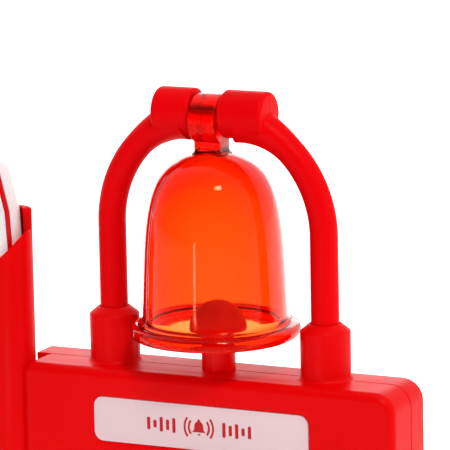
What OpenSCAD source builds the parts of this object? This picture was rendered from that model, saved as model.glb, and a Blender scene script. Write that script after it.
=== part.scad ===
// Play fire alarm box: a two-shell box with a swinging clear bell on an arch,
// a lamp under the bell, a pull-down handle, a sound circuit and a holstered hand piece.
// +Z is up and the front faces -Y. The origin is on the base, midway between the
// arch's legs, in the plane where the two shells meet.

/* [Box] */
// Width of the box
box_w = 115.6; // [105:0.2:130]
// Height of the box, without the arch
box_h = 96; // [92:1:130]
// Depth of the front shell, from the seam to the front face
front_d = 12.8; // [12:0.2:16]
// Depth of the rear shell, from the seam to the back face
rear_d = 9; // [9:0.2:14]
// Wall thickness of both shells
wall = 1.8; // [1.6:0.1:2.2]
// Radius of the box's corners, seen from the front
corner_r = 6; // [4:0.5:7]
// Radius of the front face's edges
edge_r = 2.6; // [1:0.2:4]
// Radius of the front shell's left upright edge, next to the holster
left_edge_r = 5.8; // [4:0.2:7]

/* [Arch] */
// Distance between the centres of the two legs
leg_gap = 65; // [60:1:80]
// Diameter of the arch's tube
tube_d = 7.8; // [6:0.2:9]
// Diameter of the sockets that hold the legs
socket_d = 14; // [12:0.5:16]
// Height of a socket's straight wall above the box
socket_h = 13.6; // [8:0.2:18]
// Height of the bell's axle above the box
axle_h = 72.2; // [66:0.2:80]
// Diameter of the bosses that hold the axle
boss_d = 13.4; // [11:0.2:16]
// Distance from the middle of the arch to a boss's outer end
boss_reach = 16.8; // [14:0.2:20]

/* [Bell] */
// Sideways place of the bell's centre
bell_x = -1; // [-2:0.1:0]
// Radius of the bell's wall where it would meet the box's top
bell_r = 20.8; // [18:0.1:21]
// Height of the bell's crown above the box
crown_h = 61.5; // [58:0.5:63]
// Thickness of the bell's wall
bell_wall = 1.4; // [1:0.1:2]
// Radius of the lug that the axle runs in
lug_r = 7; // [6:0.1:7.4]
// Width of the lug between the bosses
lug_w = 8.1; // [6:0.1:10]

/* [Lamp] */
// Diameter of the lamp's post
post_d = 9.5; // [8:0.5:11]
// Diameter of the lamp's mushroom cap
cap_d = 16; // [13:0.5:16]
// Height of the cap's lower edge above the box
cap_h = 8; // [6:0.5:9]

/* [Label and handle] */
// Width of the label plate
label_w = 65.8; // [50:0.2:70]
// Height of the label plate
label_h = 12.7; // [10:0.1:16]
// Distance from the box's top to the label's centre
label_drop = 14.2; // [13:0.1:18]
// Width of the pull handle
handle_w = 54; // [46:1:60]
// Travel of the pull handle
pull = 12; // [8:1:14]

/* [Holster] */
// Width of the holster
holster_w = 44; // [40:1:60]
// Depth of the holster, which is also the width of its round ends
holster_d = 14; // [13:0.2:15]
// Height of the holster's back above the box
holster_rise = 42.6; // [30:0.2:50]
// Thickness of the holster's wall
holster_wall = 1.6; // [1.2:0.1:2]
// Height of the hand piece above the box when it is put away
hand_rise = 57; // [50:1:60]

/* [Hidden] */
$fn = 64;

fit = 0.05;                 // radial gap of a running fit, and of a leg in its saddle
gap = 0.3;                  // gap round a part that slides
left = -box_w / 2;
right = box_w / 2;
top = box_h;
in_front = -front_d + wall; // inner face of the front wall
in_back = rear_d - wall;    // inner face of the back wall
leg_x = leg_gap / 2;
tube_r = tube_d / 2;
socket_r = socket_d / 2;
arc_h = axle_h - leg_x;     // where the legs begin to bend
boss_r = boss_d / 2;
axle_r = 1.2;
lug_play = 0.4;             // gap between the lug and each boss
boss_in = lug_w / 2 + lug_play;
lug_drop = 1.6;             // how far the lug's middle is below the axle
bead_r = 2;                 // the bell's rim bead
bead_h = 11.3;
bead_c = 21.9;
bell_steps = 26;            // points along the bell's wall
bell_low = 15;              // where the wall ends and the rim's flare begins
lamp_x = bell_x + 0.8;
post_r = post_d / 2;
cap_r = cap_d / 2;
foot_h = 12;                // depth of an arm's foot below the box's top
// Shell screws, as [x, z]
screws = [[-49, 9], [49, 9], [-49, top - 10], [49, top - 10]];
boss_post_r = 3.2;
pilot_r = 1.1;
head_r = 2.4;
// Handle
handle_z = 46;
stem_x = 18;
stem_w = 6;
stem_h = 7;
slot_top = handle_z + stem_h / 2 + gap;
slot_bottom = handle_z - stem_h / 2 - gap - pull;
carriage_y0 = in_front + gap;
carriage_t = 2.2;
carriage_h = 14;
spring_y = -7.8;
spring_top = handle_z - carriage_h / 2;
spring_seat = 14;
spring_r = 2.4;
spring_wire = 0.3;          // radius of the spring's wire
spring_turns = 7;
spring_ring = 6;            // points round the wire
spring_steps = 12 * spring_turns;
label_x = -0.4;
keyhole_x = 17;
keyhole_z = top - 13;
// Batteries
cell_d = 10.5;
cell_l = 44.5;
cell_pitch = 12;
cell_y = in_back - cell_d / 2 - 0.2;
cell_z = 17;
bay_w = 3 * cell_pitch + 1.2;
bay_h = cell_l + 8;
bay_t = 1.2;
bay_floor = cell_y - cell_d / 2 - 0.9;
door_w = bay_w + 1;
door_h = bay_h + 8;
door_z = cell_z + bay_h / 2 - 1;
door_t = 1.4;
door_screw_z = door_z + door_h / 2 - 4;
// Speaker
speaker_x = 38;
speaker_z = 31;
speaker_r = 14;
// Power switch
power_x = 38;
power_z = 64;
power_travel = 4;
// Circuit board
board_w = 28;
board_h = 30;
board_x = 39;
board_z = 66;
board_y = -5;
// Holster and hand piece
end_r = holster_d / 2;
hol_x = left + 2.6;                    // outer right end of the holster
hol_c1 = hol_x - end_r;                // centre of its right round end
hol_c2 = hol_x - holster_w + end_r;    // centre of its left round end
hol_mid = (hol_c1 + hol_c2) / 2;
end_wall = 0.9;                        // extra thickness of the holster's round ends
hand_r = end_r - holster_wall - gap;   // half the hand piece's thickness
hand_half = (hol_c1 - hol_c2) / 2 - end_wall + hand_r;
hand_floor = 3;
hand_shoulder = top + 30;              // where the hand piece begins to taper
hand_hip = top + 42;                   // where its taper steepens
hand_top = top + hand_rise;
hand_head = hand_half - 3.6;
hand_corner = 4;
talk_w = 2 * hand_half - 11;           // the talk bar's window in the front half
talk_z0 = top - 12;
talk_z1 = top + 36;
band_a0 = -52;                         // depth angles between which the red band shows
band_a1 = -32;
band_y0 = -end_r + hand_r * sin(band_a0);
band_y1 = -end_r + hand_r * sin(band_a1);
hand_screw_z = [hand_floor + 12, top + 20];
tab_z = [screws[0][1], screws[2][1]];

// ---- shared shapes ----

// A rectangle with round corners, centred
module round_rect(w, h, r) {
    square([w - 2 * r, h], center = true);
    square([w, h - 2 * r], center = true);
    for (x = [-1, 1], y = [-1, 1])
        translate([x * (w / 2 - r), y * (h / 2 - r)]) circle(r);
}

// A shape drawn in X and Z, made thick from y0 to y1
module slab(y0, y1) {
    translate([0, y1, 0]) rotate([90, 0, 0]) linear_extrude(y1 - y0) children();
}

// A cylinder along Y, from y0 to y1
module rod_y(r, y0, y1, x = 0, z = 0) {
    translate([x, y1, z]) rotate([90, 0, 0]) cylinder(r = r, h = y1 - y0);
}

// A cylinder along X, from x0 to x1
module rod_x(r, x0, x1, y = 0, z = 0) {
    translate([x0, y, z]) rotate([0, 90, 0]) cylinder(r = r, h = x1 - x0);
}

// A block given by its two corners
module block(a, b) {
    translate(a) cube(b - a);
}

// The front shell's outline, inset by a wall: round top and bottom corners
module box_outline(inset = 0) {
    translate([0, top / 2]) round_rect(box_w - 2 * inset, box_h - 2 * inset, corner_r - inset / 2);
}

// The rear shell's outline: its left corners are square, where it carries the holster
module rear_outline(inset = 0) {
    union() {
        box_outline(inset);
        translate([left + inset, inset]) square([corner_r * 2, box_h - 2 * inset]);
    }
}

// Both sockets and their chamfered tops
module sockets() {
    for (x = [-leg_x, leg_x]) translate([x, 0, top - wall]) {
        cylinder(r = socket_r, h = wall + socket_h);
        translate([0, 0, wall + socket_h])
            cylinder(r1 = socket_r, r2 = tube_r + 0.3, h = (socket_r - tube_r - 0.3) * 0.74);
    }
}

// The holes that the two shells share along their seam
module seam_holes() {
    for (x = [-leg_x, leg_x]) {
        translate([x, 0, top - foot_h - 1]) cylinder(r = tube_r + fit, h = foot_h + socket_h + 6);
        translate([x, 0, top - foot_h - 0.1]) cylinder(r = tube_r + 1.6, h = 3.2);
    }
    translate([lamp_x, 0, top - 8]) cylinder(r = post_r + fit, h = 10);
}

// Ribs that clamp the arms' feet and the lamp's post, between y0 and y1
module saddles(y0, y1) {
    for (x = [-leg_x, leg_x])
        block([x - 7.5, y0, top - foot_h - 2], [x + 7.5, y1, top - foot_h + 5]);
    block([lamp_x - 7, y0, top - 3.6], [lamp_x + 7, y1, top - 1]);
}

// The path of the holster's outline in plan, from one round end to the other
module stadium(r, shorter = 0) {
    translate([hol_c2 + shorter, -end_r - r]) square([hol_c1 - hol_c2 - 2 * shorter, 2 * r]);
    for (x = [hol_c1 - shorter, hol_c2 + shorter]) translate([x, -end_r]) circle(r, $fn = 96);
}

// ---- the box ----

module front_shell() {
    color([0.86, 0.02, 0.03]) difference() {
        union() {
            difference() {
                // the outline, with rounded corners and front edges
                hull() for (x = [-1, 1], z = [-1, 1])
                    translate([x * (box_w / 2 - corner_r), 0, top / 2 + z * (top / 2 - corner_r)])
                        rotate([90, 0, 0]) rotate_extrude($fn = 32) {
                            square([corner_r, front_d - edge_r]);
                            square([corner_r - edge_r, front_d]);
                            translate([corner_r - edge_r, front_d - edge_r]) circle(edge_r, $fn = 32);
                        }
                // the left upright edge, rounded more than the others
                difference() {
                    block([left - 1, -front_d - 1, -1], [left + left_edge_r, -front_d + left_edge_r, top + 1]);
                    translate([left + left_edge_r, -front_d + left_edge_r, -2]) cylinder(r = left_edge_r, h = top + 4);
                }
                // the hollow, with a thick left wall that the holster nests in
                slab(in_front, 1) translate([1.5, top / 2])
                    round_rect(box_w - 2 * wall - 3, box_h - 2 * wall, corner_r - wall);
            }
            sockets();
            saddles(in_front - 0.2, 0);
            for (s = screws)
                rod_y(boss_post_r, in_front - 0.2, s[0] < 0 ? -2.1 : 0, s[0], s[1]);
            // seat and peg of the return spring
            block([-6, in_front - 0.2, spring_seat - 2], [6, spring_y + 3, spring_seat]);
            // rails either side of the carriage
            for (x = [-1, 1]) block([x * (handle_w / 2 + 2) - 0.8, in_front - 0.2, slot_bottom - 8],
                                    [x * (handle_w / 2 + 2) + 0.8, in_front + 3.5, slot_top + 5]);
            // posts for the circuit board
            for (z = [-1, 1]) rod_y(2.4, in_front - 0.2, board_y, board_x, board_z + z * (board_h / 2 - 3));
        }
        block([left - 1, 0, -1], [right + 1, 20, top + 40]);
        seam_holes();
        // the holster's side
        translate([hol_c1, -end_r, -1]) cylinder(r = end_r + 0.1, h = top + 30, $fn = 96);
        // notches for the holster's tabs
        for (z = tab_z) block([left - 5, -2.1, z - 4.6], [left + 14, 1, z + 4.6]);
        // pilot holes
        for (s = screws) rod_y(pilot_r, -10, 1, s[0], s[1]);
        for (z = [-1, 1]) rod_y(0.9, board_y - 4, board_y + 1, board_x, board_z + z * (board_h / 2 - 3));
        // recess for the label plate
        slab(-front_d - 1, -front_d + 1.3) translate([label_x, top - label_drop])
            round_rect(label_w + 0.2, label_h + 0.2, 2.9);
        // shallow panel and slots for the handle's stems
        slab(-front_d - 1, -front_d + 0.6) translate([0, (slot_top + slot_bottom) / 2])
            round_rect(handle_w + 8, slot_top - slot_bottom + 8, 4);
        for (x = [-stem_x, stem_x])
            block([x - stem_w / 2 - gap, -front_d - 1, slot_bottom], [x + stem_w / 2 + gap, in_front + 1, slot_top]);
    }
}

module rear_shell() {
    color([0.86, 0.02, 0.03]) difference() {
        union() {
            difference() {
                slab(0, rear_d) rear_outline();
                slab(-1, in_back) rear_outline(wall);
            }
            difference() {
                sockets();
                block([left, -20, top - 5], [right, 0, top + 40]);
            }
            saddles(0, in_back + 0.2);
            for (s = screws) rod_y(boss_post_r + 0.6, 0, in_back + 0.2, s[0], s[1]);
            // the battery bay's walls and its floor
            block([-bay_w / 2 - bay_t, bay_floor, cell_z - 3 - bay_t],
                  [bay_w / 2 + bay_t, in_back + 0.2, cell_z - 3 + bay_h + bay_t]);
            // speaker ring
            rod_y(speaker_r + 1.6, in_back - 3, in_back + 0.2, speaker_x, speaker_z);
            // boss for the door's screw
            rod_y(3, 2, in_back + 0.2, 0, door_screw_z);
        }
        seam_holes();
        for (s = screws) {
            rod_y(pilot_r + 0.2, -1, rear_d + 1, s[0], s[1]);
            rod_y(head_r + 0.3, rear_d - 4, rear_d + 1, s[0], s[1]);
        }
        // opening and rebate for the battery door
        block([-bay_w / 2, bay_floor + 0.8, cell_z - 3], [bay_w / 2, rear_d + 1, cell_z - 3 + bay_h]);
        slab(rear_d - door_t - 0.1, rear_d + 1) translate([0, door_z])
            round_rect(door_w + 2 * gap, door_h + 2 * gap, 2);
        rod_y(pilot_r, 3, rear_d + 1, 0, door_screw_z);
        // speaker seat and its sound holes
        rod_y(speaker_r + 0.1, -1, in_back, speaker_x, speaker_z);
        rod_y(1.3, in_back - 1, rear_d + 1, speaker_x, speaker_z);
        for (ring = [1, 2], i = [0 : 6 * ring - 1])
            rod_y(1.3, in_back - 1, rear_d + 1,
                  speaker_x + 4.6 * ring * cos(60 * i / ring), speaker_z + 4.6 * ring * sin(60 * i / ring));
        // slot for the power knob
        block([power_x - 4 - gap, in_back - 1, power_z - 2 - gap], [power_x + 4 + gap, rear_d + 1, power_z + 2 + gap]);
        // keyholes for hanging
        for (x = [-keyhole_x, keyhole_x]) {
            rod_y(4.2, in_back - 1, rear_d + 1, x, keyhole_z);
            rod_y(2.1, in_back - 1, rear_d + 1, x, keyhole_z + 6);
            block([x - 2.1, in_back - 1, keyhole_z], [x + 2.1, rear_d + 1, keyhole_z + 6]);
        }
    }
}

module label_plate() {
    color([0.9, 0.86, 0.86]) slab(-front_d + 0.4, -front_d + 1.3)
        translate([label_x, top - label_drop]) round_rect(label_w, label_h, 2.8);
}

module shell_screws() {
    color("silver") for (s = screws) {
        rod_y(pilot_r, -9, rear_d - 4, s[0], s[1]);
        difference() {
            rod_y(head_r, rear_d - 4, rear_d - 2.2, s[0], s[1]);
            block([s[0] - 1.5, rear_d - 3, s[1] - 0.35], [s[0] + 1.5, rear_d, s[1] + 0.35]);
            block([s[0] - 0.35, rear_d - 3, s[1] - 1.5], [s[0] + 0.35, rear_d, s[1] + 1.5]);
        }
    }
}

// ---- the arch, the bell and the lamp ----

// One arm, drawn for the right side: foot, leg, bend and boss
module arm(boss_start) {
    difference() {
        union() {
            translate([leg_x, 0, top - foot_h]) {
                cylinder(r = tube_r + 1.5, h = 3);
                cylinder(r = tube_r, h = foot_h + arc_h + 0.01);
            }
            translate([0, 0, top + arc_h]) rotate([90, 0, 0])
                rotate_extrude(angle = 74, $fn = 96) translate([leg_x, 0]) circle(tube_r, $fn = 48);
            translate([boss_start, 0, top + axle_h]) rotate([0, 90, 0])
                rotate_extrude($fn = 96) polygon([[0, 0], [boss_r - 0.6, 0], [boss_r, 0.6],
                    [boss_r, boss_reach - boss_start - 0.6], [boss_r - 0.6, boss_reach - boss_start],
                    [0, boss_reach - boss_start]]);
        }
        rod_x(axle_r, 0, 13.5, 0, top + axle_h);
    }
}

module right_arm() {
    color([0.88, 0.03, 0.04]) arm(bell_x + boss_in);
}

module left_arm() {
    color([0.88, 0.03, 0.04]) mirror([1, 0, 0]) arm(boss_in - bell_x);
}

module axle_pin() {
    color("silver") rod_x(axle_r, -13.2, 13.2, 0, top + axle_h);
}

// Outer radius of the bell's wall at a height above the box
function bell_at(z) = (bell_r - 0.04 * z) * pow(1 - pow(z / crown_h, 7.25), 1 / 2.2);

function bell_z(i, peak) = bell_low + (peak - bell_low) * sin(90 * i / bell_steps);

module bell() {
    outer = [for (i = [0 : bell_steps]) [bell_at(bell_z(i, crown_h)), bell_z(i, crown_h)]];
    inner = [for (i = [bell_steps : -1 : 0])
             let (z = bell_z(i, crown_h - bell_wall))
             [max(0, bell_at(z * crown_h / (crown_h - bell_wall)) - bell_wall), z]];
    color([1, 0.3, 0.05, 0.6]) difference() {
        translate([bell_x, 0, top]) union() {
            rotate_extrude($fn = 128) polygon(concat(outer, inner, [[bead_c - 2.2, bead_h + 0.6],
                [bead_c - 1.2, bead_h - 1], [bead_c, bead_h], [bead_c - 0.6, bead_h + 1.6]]));
            rotate_extrude($fn = 128) translate([bead_c, bead_h]) circle(bead_r, $fn = 32);
            translate([0, 0, crown_h - 1.4]) cylinder(r = 4.6, h = 5);
            translate([0, 0, axle_h - lug_drop]) rod_x(lug_r, -lug_w / 2, lug_w / 2);
            block([-lug_w / 2, -4, crown_h], [lug_w / 2, 4, axle_h]);
        }
        rod_x(axle_r + fit, -20, 20, 0, top + axle_h);
    }
}

module lamp_post() {
    color([0.8, 0.05, 0.04]) translate([lamp_x, 0, top]) difference() {
        union() {
            translate([0, 0, -7.6]) cylinder(r = 6.5, h = 3.9);
            translate([0, 0, -4]) cylinder(r = post_r, h = cap_h + 8);
        }
        translate([0, 0, -8]) cylinder(r = 2.6, h = 30);
    }
}

module lamp_cap() {
    cap_c = cap_h + 3.7;
    color([0.8, 0.05, 0.04]) translate([lamp_x, 0, top]) difference() {
        union() {
            translate([0, 0, cap_c]) sphere(cap_r, $fn = 96);
            translate([0, 0, cap_h]) cylinder(r = cap_r, h = 3.7);
        }
        translate([0, 0, cap_h - 20]) cylinder(r = cap_r + 1, h = 20);
        translate([0, 0, cap_h - 1]) cylinder(r = post_r + fit, h = 5.1);
        translate([0, 0, cap_h + 4]) cylinder(r = 2.7, h = 3.2);
    }
}

module lamp_led() {
    color([1, 0.85, 0.8]) translate([lamp_x, 0, top + 4]) {
        cylinder(r = 2.5, h = 6.5);
        translate([0, 0, 6.5]) sphere(2.5);
        for (x = [-1.27, 1.27]) translate([x, 0, -11]) cylinder(r = 0.25, h = 11.2);
    }
}

// ---- the pull handle and what it works ----

module pull_handle() {
    bar_y0 = -front_d - 8.4;
    bar_y1 = -front_d - 1.6;
    color([0.95, 0.95, 0.93]) difference() {
        union() {
            hull() for (x = [-1, 1], y = [bar_y0 + 2.4, bar_y1 - 1.4])
                translate([x * (handle_w / 2 - 4), y, handle_z])
                    rotate([90, 0, 0]) cylinder(r = y < bar_y1 - 2 ? 4.6 : 6, h = 2, center = true);
            for (x = [-stem_x, stem_x])
                block([x - stem_w / 2, bar_y1 - 1.5, handle_z - stem_h / 2],
                      [x + stem_w / 2, carriage_y0, handle_z + stem_h / 2]);
        }
        for (x = [-stem_x, stem_x]) rod_y(0.9, -17, carriage_y0 + 1, x, handle_z);
    }
}

module handle_carriage() {
    color([0.2, 0.2, 0.22]) difference() {
        union() {
            block([-handle_w / 2, carriage_y0, handle_z - carriage_h / 2],
                  [handle_w / 2, carriage_y0 + carriage_t, handle_z + carriage_h / 2]);
            block([-5, carriage_y0, spring_top], [5, spring_y + 3, spring_top + 3]);
            block([19, carriage_y0, spring_top - 4], [23, carriage_y0 + carriage_t, spring_top + 1]);
        }
        for (x = [-stem_x, stem_x]) rod_y(1.1, carriage_y0 - 1, 0, x, handle_z);
    }
}

module carriage_screws() {
    color("silver") for (x = [-stem_x, stem_x]) {
        rod_y(0.9, carriage_y0 - 5, carriage_y0 + carriage_t, x, handle_z);
        rod_y(2, carriage_y0 + carriage_t, carriage_y0 + carriage_t + 1.4, x, handle_z);
    }
}

// Compression spring: a helix of wire swept as one closed tube
function spring_point(i, j) =
    let (a = 360 * i / 12, b = 360 * j / spring_ring, rr = spring_r + spring_wire * cos(b))
    [rr * cos(a), rr * sin(a),
     spring_wire + (spring_top - spring_seat - 2 * spring_wire) * i / spring_steps + spring_wire * sin(b)];

module return_spring() {
    n = spring_ring;
    pts = [for (i = [0 : spring_steps], j = [0 : n - 1]) spring_point(i, j)];
    sides = [for (i = [0 : spring_steps - 1], j = [0 : n - 1])
             [i * n + j, (i + 1) * n + j, (i + 1) * n + (j + 1) % n, i * n + (j + 1) % n]];
    ends = [[for (j = [0 : n - 1]) j], [for (j = [n - 1 : -1 : 0]) spring_steps * n + j]];
    color("silver") translate([0, spring_y, spring_seat]) polyhedron(pts, concat(sides, ends));
}

module trip_switch() {
    color([0.1, 0.1, 0.1]) {
        block([15, in_front, 13], [27, in_front + 5.5, 20]);
        block([19, in_front + 1, 19.9], [23, in_front + 4, 22.7]);
    }
}

// ---- the sound circuit ----

module circuit_board() {
    color([0.05, 0.35, 0.15]) difference() {
        block([board_x - board_w / 2, board_y, board_z - board_h / 2],
              [board_x + board_w / 2, board_y + 1.2, board_z + board_h / 2]);
        for (z = [-1, 1]) rod_y(1.1, board_y - 1, board_y + 3, board_x, board_z + z * (board_h / 2 - 3));
    }
}

module board_screws() {
    color("silver") for (z = [-1, 1]) {
        rod_y(0.9, board_y - 3.5, board_y + 1.2, board_x, board_z + z * (board_h / 2 - 3));
        rod_y(1.9, board_y + 1.2, board_y + 2.4, board_x, board_z + z * (board_h / 2 - 3));
    }
}

module sound_chip() {
    color([0.05, 0.05, 0.05]) {
        rod_y(4, board_y + 1.2, board_y + 2.6, board_x - 7, board_z + 3);
        block([board_x + 4, board_y + 1.2, board_z - 6], [board_x + 10, board_y + 3, board_z + 2]);
    }
}

module speaker_basket() {
    color([0.15, 0.15, 0.16]) difference() {
        union() {
            rod_y(speaker_r, in_back - 2, in_back, speaker_x, speaker_z);
            rod_y(9, in_back - 5, in_back - 1.9, speaker_x, speaker_z);
        }
        rod_y(speaker_r - 1.6, in_back - 1.2, in_back + 1, speaker_x, speaker_z);
        rod_y(7.4, in_back - 4, in_back + 1, speaker_x, speaker_z);
    }
}

module speaker_cone() {
    color([0.6, 0.6, 0.6]) translate([speaker_x, in_back - 4, speaker_z]) rotate([-90, 0, 0])
        rotate_extrude($fn = 64) polygon([[0, 0], [4, 0.2], [7.2, 2.85], [speaker_r - 1.7, 2.85],
                                          [speaker_r - 1.7, 3.35], [7, 3.35], [3.6, 1], [0, 0.8]]);
}

module speaker_magnet() {
    color([0.5, 0.5, 0.52]) rod_y(6.5, in_back - 9, in_back - 5, speaker_x, speaker_z);
}

module battery_cells() {
    color([0.25, 0.3, 0.55]) for (i = [-1 : 1]) {
        translate([i * cell_pitch, cell_y, cell_z]) {
            cylinder(r = cell_d / 2, h = cell_l - 0.8);
            translate([0, 0, i == 0 ? -0.8 : cell_l - 0.9]) cylinder(r = 1.9, h = 0.9);
        }
    }
}

// Flat contacts at the cells' positive ends and plates behind the springs
module contact_plates() {
    color("silver") for (i = [-1 : 1], end = [0, 1])
        block([i * cell_pitch - 4, cell_y - 4, end == 0 ? cell_z - 3 : cell_z - 3 + bay_h - 0.4],
              [i * cell_pitch + 4, cell_y + 4, end == 0 ? cell_z - 2.6 : cell_z - 3 + bay_h]);
}

// Spring contacts, drawn as the stack of their closed turns
module contact_springs() {
    color("silver") for (i = [-1 : 1]) {
        z0 = i == 0 ? cell_z + cell_l - 0.8 : cell_z - 2.6;
        z1 = i == 0 ? cell_z - 3 + bay_h - 0.4 : cell_z;
        translate([i * cell_pitch, cell_y, z0]) difference() {
            cylinder(r = 3, h = z1 - z0);
            translate([0, 0, -1]) cylinder(r = 2.2, h = z1 - z0 + 2);
        }
    }
}

module battery_door() {
    color([0.84, 0.02, 0.03]) difference() {
        union() {
            slab(rear_d - door_t, rear_d) translate([0, door_z]) round_rect(door_w, door_h, 1.8);
            // ribs that hold the cells down
            for (z = [cell_z + 10, cell_z + cell_l - 10])
                block([-bay_w / 2 + 1, in_back - 0.1, z - 0.6], [bay_w / 2 - 1, rear_d - door_t + 0.1, z + 0.6]);
        }
        rod_y(1.3, -1, rear_d + 1, 0, door_screw_z);
        // finger rib grooves
        for (k = [-1 : 1]) block([-8, rear_d - 0.5, cell_z + 2 + 2 * k], [8, rear_d + 1, cell_z + 3 + 2 * k]);
    }
}

module door_screw() {
    z = door_screw_z;
    color("silver") difference() {
        union() {
            rod_y(pilot_r - 0.1, 4, rear_d - 0.2, 0, z);
            rod_y(head_r, rear_d, rear_d + 1.2, 0, z);
            rod_y(pilot_r, rear_d - 0.3, rear_d, 0, z);
        }
        block([-1.5, rear_d + 0.6, z - 0.35], [1.5, rear_d + 3, z + 0.35]);
        block([-0.35, rear_d + 0.6, z - 1.5], [0.35, rear_d + 3, z + 1.5]);
    }
}

module power_switch() {
    color([0.3, 0.3, 0.32]) difference() {
        block([power_x - 7, in_back - 5, power_z - 4], [power_x + 7, in_back, power_z + 4]);
        block([power_x - 4.4, in_back - 2.4, power_z - 2.2], [power_x + 4.4, in_back + 1, power_z + 2.2]);
    }
}

module power_knob() {
    color([0.08, 0.08, 0.08]) union() {
        block([power_x - 4, in_back - 2, power_z - 1.8], [power_x, rear_d - 0.2, power_z + 1.8]);
        for (k = [0 : 2]) block([power_x - 3.7 + 1.3 * k, rear_d - 0.3, power_z - 1.8],
                                [power_x - 3 + 1.3 * k, rear_d + 0.6, power_z + 1.8]);
    }
}

// ---- the holster and the hand piece ----

module holster() {
    scoop_a = 26;           // half-axes and middle of the ellipse of its lower edge
    scoop_b = 29;
    scoop_z = top + 52.6;
    color([0.86, 0.02, 0.03]) difference() {
        union() {
            difference() {
                linear_extrude(top + holster_rise) stadium(end_r);
                translate([0, 0, hand_floor - 0.1]) linear_extrude(400) stadium(end_r - holster_wall, end_wall);
            }
            for (z = tab_z) block([hol_c1 + 4.5, -2, z - 4.4], [left + 13.4, -0.05, z + 4.4]);
        }
        // the round ends' hollow past the tabs
        translate([0, 0, hand_floor - 0.1]) linear_extrude(400) stadium(end_r - holster_wall, end_wall);
        for (z = tab_z) rod_y(pilot_r + 0.2, -5, 2, screws[0][0], z);
        // scooped front
        slab(-40, -end_r + 1.6) translate([hol_mid, scoop_z]) scale([scoop_a, scoop_b]) circle(1, $fn = 96);
    }
}

// The hand piece's outline from the front: straight sides, sloping shoulders, round corners
module hand_outline(inset = 0) {
    hull() for (s = [-1, 1], c = [[hand_half, hand_floor + hand_corner], [hand_half, hand_shoulder],
                                  [hand_half - 0.8, hand_hip], [hand_head, hand_top - hand_corner]])
        translate([hol_mid + s * (c[0] - hand_corner), c[1]]) circle(hand_corner - inset, $fn = 32);
}

// A layer of the hand piece's rounded body, from depth angle a0 to a1
module hand_layer(a0, a1) {
    hull() for (k = [0 : 4])
        let (a = a0 + (a1 - a0) * k / 4, y = -end_r + hand_r * sin(a), thin = k == 4 ? -0.02 : 0.02)
        slab(min(y, y + thin), max(y, y + thin)) hand_outline(hand_r * (1 - cos(a)));
}

module talk_window(grow) {
    translate([hol_mid, (talk_z0 + talk_z1) / 2])
        round_rect(talk_w + 2 * grow, talk_z1 - talk_z0 + 2 * grow, 4);
}

module hand_back() {
    color([0.96, 0.95, 0.95]) difference() {
        hand_layer(band_a1, 70);
        slab(band_y1 - 1, -end_r + 2.8) hand_outline(3.4);
        for (z = hand_screw_z) rod_y(2.1, -end_r + 3.3, 1, hol_mid, z);
    }
}

module hand_band() {
    color([0.8, 0.03, 0.05]) difference() {
        hand_layer(band_a0, band_a1);
        slab(band_y0 - 1, band_y1 + 1) offset(delta = -4.2) hand_outline();
    }
}

module hand_front() {
    color([0.9, 0.86, 0.87]) difference() {
        hand_layer(-75, band_a0);
        slab(-40, 0) talk_window(0);
    }
}

module talk_bar() {
    color([0.8, 0.03, 0.05]) {
        slab(-end_r - hand_r, band_y0 + 0.4) talk_window(-0.25);
        slab(band_y0 + 0.1, band_y0 + 0.7) talk_window(0.8);
    }
}

module hand_screws() {
    color("silver") for (z = hand_screw_z) rod_y(2, -end_r + 3.3, -end_r + 4.6, hol_mid, z);
}

// ---- wires inside the box ----

// A wire along a list of points, with a bend at each
module wire(points) {
    for (i = [0 : len(points) - 2])
        hull() for (end = [points[i], points[i + 1]]) translate(end) sphere(0.5, $fn = 8);
}

module wiring() {
    color([0.1, 0.1, 0.1]) {
        wire([[board_x - 11, board_y + 1.7, top - 22], [20, -3, top - 17], [3, -3, top - 12]]);
        wire([[board_x + 6, board_y + 1.7, 54], [board_x + 6, -2.6, 48], [board_x + 2, -2.8, 40]]);
        wire([[board_x - 10, board_y + 1.7, 54], [25.5, -3.4, 44], [24, -4.4, 20]]);
    }
}

front_shell();
rear_shell();
left_arm();
right_arm();
axle_pin();
bell();
lamp_post();
lamp_cap();
lamp_led();
label_plate();
pull_handle();
handle_carriage();
carriage_screws();
return_spring();
trip_switch();
circuit_board();
board_screws();
sound_chip();
speaker_basket();
speaker_cone();
speaker_magnet();
battery_cells();
contact_springs();
contact_plates();
battery_door();
door_screw();
power_switch();
power_knob();
shell_screws();
holster();
hand_back();
hand_band();
hand_front();
talk_bar();
hand_screws();
wiring();
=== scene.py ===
"""Looks of a play fire alarm box: a red two-shell box, a clear orange bell on an arch,
a pull handle, and a holster with a white hand piece.

Lengths in this script are millimetres, and mesh() turns them into metres.
"""
import math

import bpy
import bmesh
from mathutils import Matrix, Vector

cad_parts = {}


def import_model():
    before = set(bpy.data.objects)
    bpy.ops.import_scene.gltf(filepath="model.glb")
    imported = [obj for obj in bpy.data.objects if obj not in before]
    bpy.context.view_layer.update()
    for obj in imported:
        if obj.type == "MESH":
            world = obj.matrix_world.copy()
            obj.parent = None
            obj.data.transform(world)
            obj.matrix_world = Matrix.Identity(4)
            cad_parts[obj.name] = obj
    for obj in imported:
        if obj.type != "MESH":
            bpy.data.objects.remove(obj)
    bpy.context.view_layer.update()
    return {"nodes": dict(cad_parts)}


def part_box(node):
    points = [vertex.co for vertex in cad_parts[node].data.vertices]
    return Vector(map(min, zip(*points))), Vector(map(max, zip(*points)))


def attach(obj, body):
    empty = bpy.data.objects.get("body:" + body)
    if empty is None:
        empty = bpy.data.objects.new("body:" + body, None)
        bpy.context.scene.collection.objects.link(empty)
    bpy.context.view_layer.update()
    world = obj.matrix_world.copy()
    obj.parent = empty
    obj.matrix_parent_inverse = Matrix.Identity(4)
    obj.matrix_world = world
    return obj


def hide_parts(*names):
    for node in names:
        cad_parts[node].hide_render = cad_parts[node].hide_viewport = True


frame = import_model()

MM = 0.001


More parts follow.
